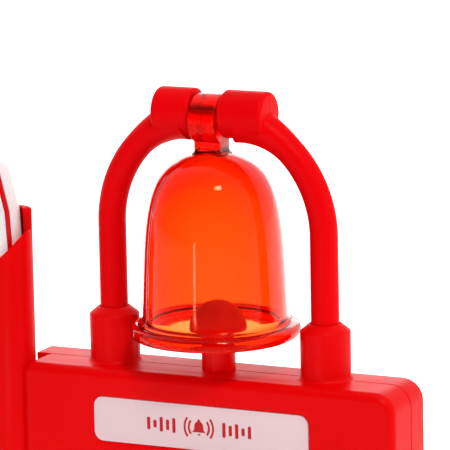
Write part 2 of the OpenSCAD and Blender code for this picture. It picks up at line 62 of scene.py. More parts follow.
# ---------------------------------------------------------------- sizes from the frame

def span(node):
    """A node's lowest and highest corners, in millimetres."""
    low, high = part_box(node)
    return Vector(low) / MM, Vector(high) / MM


shell_low, shell_high = span("front_shell")
rear_low, rear_high = span("rear_shell")
plate_low, plate_high = span("label_plate")
LEFT = rear_low.x
RIGHT = rear_high.x
FRONT = shell_low.y
BACK = rear_high.y
WALL = 1.8
CORNER = 6.0
EDGE = 2.6
LEFT_EDGE = 5.8
SOCKET_R = 7.0
SOCKET_CONE = 2.072
SOCKET_TALL = 13.6
TOP = shell_high.z - SOCKET_TALL - SOCKET_CONE
LEG_X = 32.5
TUBE_R = 3.9
arm_high = span("right_arm")[1]
BOSS_R = 6.7
AXLE_Z = arm_high.z - BOSS_R
BELL_X = sum(c.x for c in span("bell")) / 2
CROWN = 61.5
BELL_WALL = 1.4
LUG_R = 7.0
LUG_DROP = 1.6
LUG_W = 8.1
POST_R = 4.75
CAP_R, CAP_MIDDLE = 8, 11.7
LAMP_X = sum(c.x for c in span("lamp_post")) / 2
BOSS_REACH = 16.8
holster_low, holster_high = span("holster")
hand_low, hand_high = span("hand_back")
door_low, door_high = span("battery_door")
DOOR_SCREW_Z = door_high.z - 4
HOLSTER_R = 7.0
HOLSTER_RIGHT = LEFT + 2.6
HAND_R = 5.1
HAND_HALF = 19.2
END_WALL = 0.9
BAND_LOW, BAND_HIGH = -52.0, -32.0
LABEL_LIP = 0.9
# places inside and behind the box
SCREW_X = 49
SCREW_LOW = 9.0
SCREW_DROP = 10
STEM_X = 18
RAIL_X = 29
BOARD_X, BOARD_Z = 39, 66
SPEAKER_X, SPEAKER_Z = 38, 31
KEYHOLE_X = 17
# the hand piece's outline and the holster's scoop, as heights and half sizes
SHOULDER_Z, HIP_Z, HEAD_Z = TOP + 30, TOP + 42, TOP + 57
HAND_MIDDLE = (hand_low.x + hand_high.x) / 2
TALK_LOW, TALK_HIGH = TOP - 12, TOP + 36
SCOOP_Z, SCOOP_A, SCOOP_B = TOP + 52.6, 26, 29
MOULD_TURN = -135.0
# the tallest surface ripple, and how near two points are when they are one
BUMP = 0.1
MERGE = 0.0002


# ---------------------------------------------------------------- mesh tools

def mesh(name, points, faces):
    """A new object from points in millimetres, with its faces pointing outwards."""
    data = bpy.data.meshes.new(name)
    data.from_pydata([Vector(p) * MM for p in points], [], faces)
    piece = bpy.data.objects.new(name, data)
    bpy.context.scene.collection.objects.link(piece)
    tidy(piece)
    return piece


def tidy(piece):
    """Merges doubles and turns the faces outwards."""
    work = bmesh.new()
    work.from_mesh(piece.data)
    bmesh.ops.remove_doubles(work, verts=work.verts, dist=MERGE * MM)
    bmesh.ops.recalc_face_normals(work, faces=work.faces)
    work.to_mesh(piece.data)
    work.free()


def loft(name, rings):
    """A solid through rings of points, one after another, capped at both ends."""
    size, count = len(rings[0]), len(rings)
    points = [p for ring in rings for p in ring]
    faces = []
    for i in range(count - 1):
        a, b = i * size, (i + 1) * size
        faces += [(a + j, a + (j + 1) % size, b + (j + 1) % size, b + j) for j in range(size)]
    faces += [tuple(range(size)), tuple(range((count - 1) * size, count * size))]
    return mesh(name, points, faces)


def lathe(name, profile, centre=(0, 0, 0), axis="Z", steps=96):
    """A solid of revolution from (radius, height) points. A profile that doesn't start and
    end on the axis is taken as a closed loop."""
    loop = profile[0][0] > 1e-6 or profile[-1][0] > 1e-6
    centre = Vector(centre)

    def place(r, h, a):
        spot = Vector((r * math.cos(a), r * math.sin(a), h))
        if axis == "X":
            spot = Vector((spot.z, spot.x, spot.y))
        if axis == "Y":
            spot = Vector((spot.y, spot.z, spot.x))
        return centre + spot

    rings = [[place(r, h, 2 * math.pi * k / steps) for r, h in profile] for k in range(steps)]
    size = len(profile)
    faces = []
    for k in range(steps):
        a, b = k * size, ((k + 1) % steps) * size
        for j in range(size if loop else size - 1):
            n = (j + 1) % size
            faces.append((a + j, b + j, b + n, a + n))
    piece = mesh(name, [p for ring in rings for p in ring], faces)
    work = bmesh.new()
    work.from_mesh(piece.data)
    bmesh.ops.dissolve_degenerate(work, edges=work.edges, dist=1e-7)
    bmesh.ops.recalc_face_normals(work, faces=work.faces)
    work.to_mesh(piece.data)
    work.free()
    return piece


def block(name, low, high, bevel=0.0, segments=3):
    """A box between two corners, with rounded edges."""
    x0, y0, z0 = low
    x1, y1, z1 = high
    points = [(x, y, z) for x in (x0, x1) for y in (y0, y1) for z in (z0, z1)]
    faces = [(0, 1, 3, 2), (4, 6, 7, 5), (0, 4, 5, 1), (2, 3, 7, 6), (0, 2, 6, 4), (1, 5, 7, 3)]
    piece = mesh(name, points, faces)
    if bevel:
        round_edges(piece, bevel, segments)
    return piece


def apply_modifiers(piece):
    """Replaces a piece's mesh by what its modifiers make of it."""
    graph = bpy.context.evaluated_depsgraph_get()
    graph.update()
    made = bpy.data.meshes.new_from_object(piece.evaluated_get(graph))
    piece.modifiers.clear()
    piece.data = made
    return piece


def round_edges(piece, width, segments=3, angle=30.0):
    """Rounds every edge sharper than an angle."""
    bevel = piece.modifiers.new("round", "BEVEL")
    bevel.width = width * MM
    bevel.segments = segments
    bevel.limit_method = "ANGLE"
    bevel.angle_limit = math.radians(angle)
    bevel.harden_normals = False
    return apply_modifiers(piece)


def boolean(piece, tools, operation):
    """Adds or cuts away other solids, which are used up."""
    for tool in tools:
        step = piece.modifiers.new(operation, "BOOLEAN")
        step.operation = operation
        step.solver = "EXACT"
        step.object = tool
        apply_modifiers(piece)
        bpy.data.objects.remove(tool)
    return piece


def cut(piece, *tools):
    return boolean(piece, tools, "DIFFERENCE")


def weld(piece, *tools):
    return boolean(piece, tools, "UNION")


def together(name, pieces):
    """Several separate solids as one object."""
    data = bpy.data.meshes.new(name)
    work = bmesh.new()
    for piece in pieces:
        work.from_mesh(piece.data)
        bpy.data.objects.remove(piece)
    work.to_mesh(data)
    work.free()
    joined = bpy.data.objects.new(name, data)
    bpy.context.scene.collection.objects.link(joined)
    return joined


def arc(centre, radius, start, end, steps):
    """Points on an arc, with angles in degrees."""
    turns = [math.radians(start + (end - start) * k / steps) for k in range(steps + 1)]
    return [(centre[0] + radius * math.cos(a), centre[1] + radius * math.sin(a)) for a in turns]


def outline(x0, x1, z0, z1, radii, steps=10):
    """A rectangle's points in X and Z, with radii for the corners from the lower left,
    anticlockwise."""
    corners = [(x0, z0, 180, 1, 1), (x1, z0, 270, -1, 1), (x1, z1, 0, -1, -1), (x0, z1, 90, 1, -1)]
    points = []
    for (x, z, start, sx, sz), radius in zip(corners, radii):
        radius = max(radius, 0.02)
        points += arc((x + sx * radius, z + sz * radius), radius, start, start + 90, steps)
    return points


def prism(name, points, y0, y1):
    """An outline in X and Z, thickened along Y."""
    return loft(name, [[(x, y, z) for x, z in points] for y in (y0, y1)])


def smooth(piece, angle=35.0):
    """Smooth shading, broken at sharp edges."""
    piece.data.shade_smooth()
    piece.data.set_sharp_from_angle(angle=math.radians(angle))
    return piece


# ---------------------------------------------------------------- materials

def group_node(tree, group, **values):
    node = tree.nodes.new("ShaderNodeGroup")
    node.node_tree = group
    for name, value in values.items():
        node.inputs[name.replace("_", " ")].default_value = value
    return node


def new_group(name, inputs, outputs):
    group = bpy.data.node_groups.new(name, "ShaderNodeTree")
    for label, kind, value in inputs:
        socket = group.interface.new_socket(label, in_out="INPUT", socket_type=kind)
        socket.default_value = value
    for label, kind in outputs:
        group.interface.new_socket(label, in_out="OUTPUT", socket_type=kind)
    return group, group.nodes.new("NodeGroupInput"), group.nodes.new("NodeGroupOutput")


def noise(tree, where, scale, detail=2.0, rough=0.5):
    node = tree.nodes.new("ShaderNodeTexNoise")
    node.inputs["Scale"].default_value = scale
    node.inputs["Detail"].default_value = detail
    node.inputs["Roughness"].default_value = rough
    tree.links.new(where, node.inputs["Vector"])
    return node


def remap(tree, value, low, high, to_low, to_high):
    node = tree.nodes.new("ShaderNodeMapRange")
    tree.links.new(value, node.inputs["Value"])
    for label, number in (("From Min", low), ("From Max", high), ("To Min", to_low), ("To Max", to_high)):
        node.inputs[label].default_value = number
    return node.outputs["Result"]


def moulded_group():
    """Moulded plastic: slow colour drift, a fine ripple, and a few scuffs and dust specks."""
    group, given, out = new_group(
        "moulded_surface",
        [("Drift", "NodeSocketFloat", 0.03), ("Ripple", "NodeSocketFloat", 0.3),
         ("Roughness", "NodeSocketFloat", 0.3), ("Wear", "NodeSocketFloat", 0.3),
         ("Colour", "NodeSocketColor", (1, 0, 0, 1))],
        [("Colour", "NodeSocketColor"), ("Roughness", "NodeSocketFloat"), ("Height", "NodeSocketFloat")])
    where = group.nodes.new("ShaderNodeTexCoord").outputs["Object"]
    link = group.links.new
    drift = noise(group, where, 22.0, 1.0)
    drift_amount = group.nodes.new("ShaderNodeMath")
    drift_amount.operation = "MULTIPLY_ADD"
    link(remap(group, drift.outputs["Fac"], 0.3, 0.7, -1.0, 1.0), drift_amount.inputs[0])
    link(given.outputs["Drift"], drift_amount.inputs[1])
    drift_amount.inputs[2].default_value = 1.0
    tint = group.nodes.new("ShaderNodeVectorMath")
    tint.operation = "SCALE"
    link(given.outputs["Colour"], tint.inputs[0])
    link(drift_amount.outputs[0], tint.inputs["Scale"])
    # specks: a few cells of a fine pattern
    specks = group.nodes.new("ShaderNodeTexVoronoi")
    specks.inputs["Scale"].default_value = 160.0
    link(where, specks.inputs["Vector"])
    near = remap(group, specks.outputs["Distance"], 0.03, 0.055, 1.0, 0.0)
    split = group.nodes.new("ShaderNodeSeparateColor")
    link(specks.outputs["Color"], split.inputs[0])
    chosen = remap(group, split.outputs[0], 0.93, 0.94, 0.0, 1.0)
    dust = group.nodes.new("ShaderNodeMath")
    dust.operation = "MULTIPLY"
    link(near, dust.inputs[0])
    link(chosen, dust.inputs[1])
    dust_amount = group.nodes.new("ShaderNodeMath")
    dust_amount.operation = "MULTIPLY"
    link(dust.outputs[0], dust_amount.inputs[0])
    link(given.outputs["Wear"], dust_amount.inputs[1])
    dusted = group.nodes.new("ShaderNodeMix")
    dusted.data_type = "RGBA"
    link(dust_amount.outputs[0], dusted.inputs[0])
    link(tint.outputs[0], dusted.inputs[6])
    dusted.inputs[7].default_value = (0.75, 0.62, 0.6, 1)
    link(dusted.outputs[2], out.inputs["Colour"])
    # roughness: soft patches and fine rubbed streaks
    patches = noise(group, where, 60.0, 3.0)
    stretch = group.nodes.new("ShaderNodeMapping")
    stretch.inputs["Scale"].default_value = (1.0, 1.0, 0.12)
    link(where, stretch.inputs["Vector"])
    streaks = noise(group, stretch.outputs[0], 900.0, 2.0)
    rub = remap(group, streaks.outputs["Fac"], 0.62, 0.75, 0.0, 0.12)
    rub_amount = group.nodes.new("ShaderNodeMath")
    rub_amount.operation = "MULTIPLY_ADD"
    link(rub, rub_amount.inputs[0])
    link(given.outputs["Wear"], rub_amount.inputs[1])
    link(given.outputs["Roughness"], rub_amount.inputs[2])
    rough = group.nodes.new("ShaderNodeMath")
    rough.operation = "ADD"
    link(rub_amount.outputs[0], rough.inputs[0])
    link(remap(group, patches.outputs["Fac"], 0.3, 0.7, -0.03, 0.03), rough.inputs[1])
    link(rough.outputs[0], out.inputs["Roughness"])
    # ripple of the moulding and its fine grain
    wide = noise(group, where, 130.0, 2.0)
    grain = noise(group, where, 2600.0, 2.0)
    height = group.nodes.new("ShaderNodeMath")
    height.operation = "MULTIPLY_ADD"
    link(grain.outputs["Fac"], height.inputs[0])
    height.inputs[1].default_value = 0.05
    link(wide.outputs["Fac"], height.inputs[2])
    scaled = group.nodes.new("ShaderNodeMath")
    scaled.operation = "MULTIPLY"
    link(height.outputs[0], scaled.inputs[0])
    link(given.outputs["Ripple"], scaled.inputs[1])
    link(scaled.outputs[0], out.inputs["Height"])
    return group


MOULDED = moulded_group()


def plastic(name, colour, roughness=0.3, specular=0.3, ripple=0.3, metallic=0.0, subsurface=0.0):
    """A moulded plastic, or a metal when metallic is 1."""
    material = bpy.data.materials.new(name)
    material.use_nodes = True
    tree = material.node_tree
    shader = tree.nodes["Principled BSDF"]
    shader.inputs["Metallic"].default_value = metallic
    shader.inputs["Specular IOR Level"].default_value = specular
    if subsurface:
        shader.inputs["Subsurface Weight"].default_value = subsurface
        shader.inputs["Subsurface Radius"].default_value = (0.004, 0.001, 0.001)
        shader.inputs["Subsurface Scale"].default_value = 0.5
    surface = group_node(tree, MOULDED, Roughness=roughness, Ripple=ripple, Colour=(*colour, 1))
    bumped = tree.nodes.new("ShaderNodeBump")
    bumped.inputs["Strength"].default_value = 1.0
    bumped.inputs["Distance"].default_value = BUMP * MM
    tree.links.new(surface.outputs["Colour"], shader.inputs["Base Color"])
    tree.links.new(surface.outputs["Roughness"], shader.inputs["Roughness"])
    tree.links.new(surface.outputs["Height"], bumped.inputs["Height"])
    tree.links.new(bumped.outputs["Normal"], shader.inputs["Normal"])
    return material


def clear_plastic(name, absorbed, density):
    """Clear plastic that takes its colour from its thickness: thin walls are orange, thick edges deep red."""
    material = bpy.data.materials.new(name)
    material.use_nodes = True
    tree = material.node_tree
    shader = tree.nodes["Principled BSDF"]
    shader.inputs["Transmission Weight"].default_value = 1.0
    shader.inputs["IOR"].default_value = 1.46
    shader.inputs["Specular Tint"].default_value = (1.0, 0.12, 0.03, 1)
    shader.inputs["Coat Weight"].default_value = 0.09
    shader.inputs["Coat Roughness"].default_value = 0.03
    surface = group_node(tree, MOULDED, Roughness=0.04, Ripple=0.5, Drift=0.02, Wear=0.2,
                         Colour=(1, 0.97, 0.93, 1))
    tree.links.new(surface.outputs["Colour"], shader.inputs["Base Color"])
    where = tree.nodes.new("ShaderNodeTexCoord")
    split = tree.nodes.new("ShaderNodeSeparateXYZ")
    tree.links.new(where.outputs["Object"], split.inputs[0])
    duller = tree.nodes.new("ShaderNodeMath")
    duller.operation = "ADD"
    tree.links.new(surface.outputs["Roughness"], duller.inputs[0])
    above_crown = remap(tree, split.outputs["Z"], (TOP + CROWN + 0.5) * MM, (TOP + CROWN + 1.5) * MM, 0.0, 0.24)
    tree.links.new(above_crown, duller.inputs[1])
    tree.links.new(duller.outputs[0], shader.inputs["Roughness"])
    bumped = tree.nodes.new("ShaderNodeBump")
    bumped.inputs["Distance"].default_value = BUMP * MM
    tree.links.new(surface.outputs["Height"], bumped.inputs["Height"])
    tree.links.new(bumped.outputs["Normal"], shader.inputs["Normal"])
    depth = tree.nodes.new("ShaderNodeVolumeAbsorption")
    depth.inputs["Color"].default_value = (*absorbed, 1)
    depth.inputs["Density"].default_value = density
    tree.links.new(depth.outputs[0], tree.nodes["Material Output"].inputs["Volume"])
    return material


RED = (0.76, 0.0, 0.001)
red_plastic = plastic("red_plastic", RED, 0.4, specular=0.06)
arch_plastic = plastic("arch_red_plastic", (0.77, 0.001, 0.003), 0.38, specular=0.025)
band_plastic = plastic("deep_red_plastic", (0.6, 0.0, 0.004), 0.25, specular=0.2)
# the lamp's post and cap are the box's red plastic with the base colour raised: painted light that offsets the
# shade they stand in under the bell
lamp_plastic_brightened = plastic("lamp_red_plastic_brightened", (0.95, 0.0, 0.001), 0.3, specular=0.1)
white_plastic = plastic("white_plastic", (0.84, 0.8, 0.8), 0.16, specular=0.5, subsurface=0.2)
label_card = plastic("label_card", (0.77, 0.57, 0.59), 0.4, specular=0.2, ripple=0.1)
print_ink = plastic("label_print", (0.5, 0.008, 0.015), 0.45, specular=0.2, ripple=0.1)
black_plastic = plastic("black_plastic", (0.03, 0.03, 0.032), 0.45)
grey_plastic = plastic("grey_plastic", (0.2, 0.2, 0.22), 0.45)
steel = plastic("zinc_steel", (0.55, 0.55, 0.57), 0.3, metallic=1.0, specular=0.5)
board_mask = plastic("board_mask", (0.02, 0.2, 0.07), 0.3)
cone_paper = plastic("cone_paper", (0.3, 0.29, 0.27), 0.7)
cell_sleeve = plastic("cell_sleeve", (0.1, 0.14, 0.35), 0.25)
led_epoxy = plastic("led_epoxy", (0.95, 0.7, 0.66), 0.1, specular=0.5)
wire_skin = plastic("wire_skin", (0.04, 0.04, 0.045), 0.5)
bell_plastic = clear_plastic("clear_orange_plastic", (0.995, 0.51, 0.0), 2000.0)


def dress(piece, material, body, slot, *nodes):
    """Gives a finished piece its material, body and the CAD nodes it stands for. The slot is not used."""
    piece.data.materials.clear()
    piece.data.materials.append(material)
    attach(piece, body)
    if nodes:
        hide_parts(*nodes)
    return piece


# ---------------------------------------------------------------- the box's two shells

def edge_inset(depth, radius):
    """How far a rounded edge stands back from its side at a depth from the front face."""
    reach = radius - depth
    return 0.0 if reach <= 0 else radius - math.sqrt(max(radius * radius - reach * reach, 0.0))


def shell_rings(levels):
    """The front shell's outline at each distance behind its front face."""
    rings = []
    for y in levels:
        depth = y - FRONT
        inset = edge_inset(depth, EDGE)
        left_inset = edge_inset(depth, LEFT_EDGE)
        if y > -0.3:
            inset = left_inset = 0.3 + y
        x0, x1, z0, z1 = LEFT + left_inset, RIGHT - inset, inset, TOP - inset
        near, far = CORNER - left_inset, CORNER - inset
        rings.append([(x, y, z) for x, z in outline(x0, x1, z0, z1, (near, far, far, near))])
    return rings


def front_levels():
    """Depths of the outline: close together where the edges turn."""
    fine = [FRONT + EDGE * (1 - math.cos(math.radians(a))) for a in range(0, 91, 10)]
    wide = [FRONT + LEFT_EDGE * (1 - math.cos(math.radians(a))) for a in range(55, 91, 7)]
    return sorted(set(fine + wide + [-0.3, -0.06]))


def socket(name, side, y_sign):
    """A leg's socket with a soft foot and a chamfered mouth, cut at the seam."""
    r, cone = SOCKET_R, TUBE_R + 0.35
    profile = [(0, -3), (r + 1.2, -3), (r + 1.2, 0)]
    profile += [(x, z) for x, z in arc((r + 1.2, 1.2), 1.2, 270, 180, 6)][1:]
    profile += [(r, SOCKET_TALL - 0.5)] + arc((r - 0.6, SOCKET_TALL - 0.35), 0.6, 0, 37, 4)
    mouth = SOCKET_TALL + SOCKET_CONE
    profile += [(cone + 0.5, mouth - 0.25), (cone, mouth), (cone - 0.6, mouth - 1), (0, SOCKET_TALL)]
    piece = lathe(name, profile, (side * LEG_X, 0, TOP), steps=96)
    low, high = (-60, 0.04, TOP - 10), (60, 20, TOP + 30)
    if y_sign > 0:
        low, high = (-60, -20, TOP - 10), (60, -0.04, TOP + 30)
    cut(piece, block("half", low, high))
    groove = [(side * LEG_X + dx, dy) for dx, dy in ((-r - 0.18, 0), (-r, -0.2), (-r + 0.3, 0), (-r, 0.2))]
    for sign in (-1, 1):
        ring = [(side * LEG_X + sign * (x - side * LEG_X), y) for x, y in groove]
        cut(piece, loft("groove", [[(x, y, z) for x, y in ring] for z in (TOP + 0.4, TOP + SOCKET_TALL - 0.3)]))
    return piece


def flared_recess(x, z, width, height, corner, depth, flare):
    """A cutter for a sunk panel whose rim is rounded over into the front face."""
    levels = [(flare + 0.4, FRONT - 1.0)] + [(flare * (1 - math.sin(math.radians(a))),
              FRONT + flare * (1 - math.cos(math.radians(a)))) for a in range(0, 91, 15)]
    levels.append((0.0, FRONT + depth))
    result = []
    for grow, y in levels:
        ring = outline(x - width / 2 - grow, x + width / 2 + grow, z - height / 2 - grow, z + height / 2 + grow,
                       [corner + grow] * 4)
        result.append([(px, y, pz) for px, pz in ring])
    return loft("recess", result)


def tube(name, centre, radius, low, high, steps=64, axis="Z"):
    """A plain round tool between two places along an axis."""
    return lathe(name, [(0, low), (radius, low), (radius, high), (0, high)], centre, axis, steps)


def screw_places():
    return [(x, z) for x in (-SCREW_X, SCREW_X) for z in (SCREW_LOW, TOP - SCREW_DROP)]


def shared_holes(piece):
    """The holes for the arms' feet and the lamp's post, on the seam of both shells."""
    for x in (-LEG_X, LEG_X):
        cut(piece, tube("leg_hole", (x, 0, 0), TUBE_R + 0.05, TOP - 13, TOP + 30))
        cut(piece, tube("foot_hole", (x, 0, 0), TUBE_R + 1.6, TOP - 12.1, TOP - 8.8))
    cut(piece, tube("lamp_hole", (LAMP_X, 0, 0), POST_R + 0.05, TOP - 8, TOP + 2))


def saddles(y0, y1):
    """Ribs that clamp the arms' feet and the lamp's post."""
    ribs = [block("saddle", (x - 7.5, y0, TOP - 14), (x + 7.5, y1, TOP - 7)) for x in (-LEG_X, LEG_X)]
    return ribs + [block("saddle", (LAMP_X - 7, y0, TOP - 3.6), (LAMP_X + 7, y1, TOP - 1))]


def front_shell():
    """The front half, with its sockets, the label's recess, and the handle's panel and slots."""
    shell = loft("front_shell_skin", shell_rings(front_levels()))
    hollow = outline(LEFT + 3.3, RIGHT - WALL, WALL, TOP - WALL, [CORNER - WALL] * 4)
    cut(shell, prism("hollow", hollow, FRONT + WALL, 5))
    inner = FRONT + WALL
    weld(shell, *saddles(inner - 0.4, -0.06))
    for x, z in screw_places():
        weld(shell, tube("screw_post", (x, 0, z), 3.2, inner - 0.4, -2.1 if x < 0 else -0.06, 48, "Y"))
    weld(shell, block("spring_seat", (-6, inner - 0.4, 12), (6, -4.8, 14)))
    for side in (-1, 1):
        weld(shell, block("rail", (side * RAIL_X - 0.8, inner - 0.4, 22.2),
                          (side * RAIL_X + 0.8, inner + 3.5, 54.8)))
        weld(shell, tube("board_post", (BOARD_X, 0, BOARD_Z + 12 * side), 2.4, inner - 0.4, -5, 32, "Y"))
    weld(shell, socket("socket_left", -1, -1), socket("socket_right", 1, -1))
    shared_holes(shell)
    cove = (HOLSTER_RIGHT - HOLSTER_R, -HOLSTER_R, 0)
    cut(shell, tube("cove", cove, HOLSTER_R + 0.1, -1, TOP + 30, 128))
    for x, z in screw_places():
        if x < 0:
            cut(shell, block("tab_notch", (LEFT - 5, -2.1, z - 4.6), (LEFT + 14, 1, z + 4.6)))
        cut(shell, tube("pilot", (x, 0, z), 1.1, -10, 1, 24, "Y"))
    label_x, label_z = (plate_low.x + plate_high.x) / 2, (plate_low.z + plate_high.z) / 2
    label_w, label_h = plate_high.x - plate_low.x, plate_high.z - plate_low.z
    cut(shell, flared_recess(label_x, label_z, label_w + 0.15, label_h + 0.15, 2.9, 1.35, LABEL_LIP))
    cut(shell, flared_recess(0, 40, 61.6, 27.2, 4, 0.6, 0.5))
    for side in (-1, 1):
        cut(shell, block("stem_slot", (side * STEM_X - 3.3, FRONT - 1, 30.2),
                         (side * STEM_X + 3.3, inner + 1, 49.8)))
    return smooth(shell)


def sound_holes():
    """Cutters for the speaker's rings of holes, made by setting one peg round in rings."""
    peg = lathe("sound_peg", [(0, BACK - 3), (1.3, BACK - 3), (1.3, BACK - 0.5), (1.55, BACK - 0.25),
                              (1.9, BACK + 0.2), (0, BACK + 0.2)], axis="Y", steps=24)
    tree = bpy.data.node_groups.new("sound_hole_rings", "GeometryNodeTree")
    tree.interface.new_socket("Geometry", in_out="INPUT", socket_type="NodeSocketGeometry")
    tree.interface.new_socket("Geometry", in_out="OUTPUT", socket_type="NodeSocketGeometry")
    sizes = {}
    for label, kind, value in (("Middle", "NodeSocketVector", (SPEAKER_X * MM, 0.0, SPEAKER_Z * MM)),
                               ("Inner Ring", "NodeSocketFloat", 4.6 * MM),
                               ("Outer Ring", "NodeSocketFloat", 9.2 * MM)):
        sizes[tree.interface.new_socket(label, in_out="INPUT", socket_type=kind).identifier] = value
    given, out = tree.nodes.new("NodeGroupInput"), tree.nodes.new("NodeGroupOutput")
    joined = tree.nodes.new("GeometryNodeJoinGeometry")
    middle_hole = tree.nodes.new("GeometryNodePoints")
    middle_hole.inputs["Count"].default_value = 1
    tree.links.new(middle_hole.outputs[0], joined.inputs[0])
    for label, count in (("Inner Ring", 6), ("Outer Ring", 12)):
        ring = tree.nodes.new("GeometryNodeMeshCircle")
        ring.inputs["Vertices"].default_value = count
        tree.links.new(given.outputs[label], ring.inputs["Radius"])
        tree.links.new(ring.outputs[0], joined.inputs[0])
    turned = tree.nodes.new("GeometryNodeTransform")
    turned.inputs["Rotation"].default_value = (math.radians(90), 0, 0)
    placed = tree.nodes.new("GeometryNodeInstanceOnPoints")
    real = tree.nodes.new("GeometryNodeRealizeInstances")
    coloured = tree.nodes.new("GeometryNodeSetMaterial")
    coloured.inputs["Material"].default_value = red_plastic
    tree.links.new(joined.outputs[0], turned.inputs["Geometry"])
    tree.links.new(given.outputs["Middle"], turned.inputs["Translation"])
    tree.links.new(turned.outputs[0], placed.inputs["Points"])
    tree.links.new(given.outputs["Geometry"], placed.inputs["Instance"])
    tree.links.new(placed.outputs[0], real.inputs[0])
    tree.links.new(real.outputs[0], coloured.inputs["Geometry"])
    tree.links.new(coloured.outputs[0], out.inputs[0])
    rings = peg.modifiers.new("rings", "NODES")
    rings.node_group = tree
    for identifier, value in sizes.items():
        rings[identifier] = value
    return apply_modifiers(peg)


def rear_shell():
    """The rear half: the battery bay, the speaker's holes, the switch's slot and two keyholes."""
    corner = (0.4, CORNER, CORNER, 0.4)
    rings = []
    levels = [(0.06, 0.3), (0.3, 0.0)] + [(BACK - 0.5 + 0.5 * math.sin(math.radians(a)),
                                           0.5 - 0.5 * math.cos(math.radians(a))) for a in range(0, 91, 18)]
    for y, inset in levels:
        rings.append([(x, y, z) for x, z in outline(LEFT + inset, RIGHT - inset, inset, TOP - inset,
                      [max(c - inset, 0.1) for c in corner])])
    shell = loft("rear_shell_skin", rings)
    inner = BACK - WALL
    hollow = outline(LEFT + WALL, RIGHT - WALL, WALL, TOP - WALL, (0.4, CORNER - WALL, CORNER - WALL, 0.4))
    cut(shell, prism("hollow", hollow, -5, inner))
    weld(shell, *saddles(0.06, inner + 0.4))
    for x, z in screw_places():
        weld(shell, tube("screw_post", (x, 0, z), 3.8, 0.06, inner + 0.4, 48, "Y"))
    weld(shell, block("battery_bay", (-19.8, -5.5 - 0.25, 12.8), (19.8, inner + 0.4, 67.7)))
    weld(shell, tube("speaker_ring", (SPEAKER_X, 0, SPEAKER_Z), 15.6, inner - 3, inner + 0.4, 96, "Y"))
    weld(shell, tube("door_post", (0, 0, DOOR_SCREW_Z), 3, 2, inner + 0.4, 32, "Y"))
    weld(shell, socket("socket_left", -1, 1), socket("socket_right", 1, 1))
    shared_holes(shell)
    for x, z in screw_places():
        cut(shell, tube("pilot", (x, 0, z), 1.3, -1, BACK + 1, 24, "Y"))
        well = [(0, BACK - 4), (2.7, BACK - 4), (2.7, BACK - 0.3),
                (3.0, BACK + 0.05), (3.0, BACK + 1), (0, BACK + 1)]
        cut(shell, lathe("screw_well", well, (x, 0, z), "Y", 48))
    cut(shell, block("bay_space", (-18.6, -4.95, 14), (18.6, BACK + 1, 66.5)))
    door = outline(door_low.x - 0.3, door_high.x + 0.3, door_low.z - 0.3, door_high.z + 0.3, [2.1] * 4)
    cut(shell, prism("door_rebate", door, BACK - 1.5, BACK + 1))
    cut(shell, tube("door_pilot", (0, 0, DOOR_SCREW_Z), 1.1, 3, BACK + 1, 24, "Y"))
    cut(shell, tube("speaker_seat", (SPEAKER_X, 0, SPEAKER_Z), 14.1, -1, inner, 96, "Y"))
    cut(shell, sound_holes())
    cut(shell, block("knob_slot", (33.7, inner - 1, 61.7), (42.3, BACK + 1, 66.3)))
    for x in (-KEYHOLE_X, KEYHOLE_X):
        entry = arc((x, TOP - 13), 4.2, 120, 420, 40) + arc((x, TOP - 7), 2.1, 0, 180, 16)
        cut(shell, prism("keyhole", entry, inner - 1, BACK + 1))
    return smooth(shell)


# ---------------------------------------------------------------- the arch

def arm(name, side, boss_start):
    """One arm of the arch: a foot, a leg, a bend that widens into its boss, and the boss."""
    bend_z = AXLE_Z - LEG_X
    rings = []

    def ring(centre, across, radius):
        """A ring of the tube, with the faint ridge that the two halves of its mould leave."""
        points = []
        for k in range(64):
            a = 2 * math.pi * k / 64
            reach = radius + (0.07 if k in (0, 32) else 0.0)
            points.append(centre + across * (reach * math.cos(a)) + Vector((0, 1, 0)) * (reach * math.sin(a)))
        return points

    for z in (TOP - 12, TOP - 9, TOP - 4, bend_z - 12):
        rings.append(ring(Vector((side * LEG_X, 0, z)), Vector((1, 0, 0)), TUBE_R))
    for k in range(0, 41):
        a = math.radians(74 * k / 40)
        out = Vector((side * math.cos(a), 0, math.sin(a)))
        late = max(0.0, (k - 24) / 16)
        radius = TUBE_R + 2.4 * late ** 1.6
        centre = Vector((0, 0, bend_z)) + out * (LEG_X - 0.55 * late * late)
        rings.append(ring(centre, out * side, radius))
    leg = loft(name, rings)
    boss_end = BOSS_REACH
    profile = [(0, boss_start)] + arc((BOSS_R - 0.9, boss_start + 0.9), 0.9, -90, 0, 6)
    profile += arc((BOSS_R - 1.1, boss_end - 1.1), 1.1, 0, 90, 6) + [(0, boss_end)]
    boss = lathe("boss", [(r, h * side) for r, h in profile], (0, 0, AXLE_Z), "X", 128)
    weld(boss, lathe("foot", [(0, TOP - 12), (TUBE_R + 1.5, TOP - 12), (TUBE_R + 1.5, TOP - 9), (0, TOP - 9)],
                     (side * LEG_X, 0, 0)))
    weld(leg, boss)
    hole = sorted((0.0, side * 13.5))
    cut(leg, tube("axle_hole", (0, 0, AXLE_Z), 1.2, hole[0], hole[1], 32, "X"))
    # the mould's line across the boss's end
    end = side * boss_end
    line = [(end - 0.12 * side, 0), (end + 0.2 * side, 0.16), (end + 0.2 * side, -0.16)]
    cut(leg, loft("end_line", [[(x, y, z) for x, y in line] for z in (AXLE_Z - 8, AXLE_Z + 8)]))
    leg.data.name = leg.name = name
    return smooth(leg, 38)


# ---------------------------------------------------------------- the bell and the lamp

def bell_wall_at(z):
    """Outer radius of the bell's wall at a height above the box."""
    return (20.8 - 0.04 * z) * max(0.0, 1 - (z / CROWN) ** 7.25) ** (1 / 2.2)


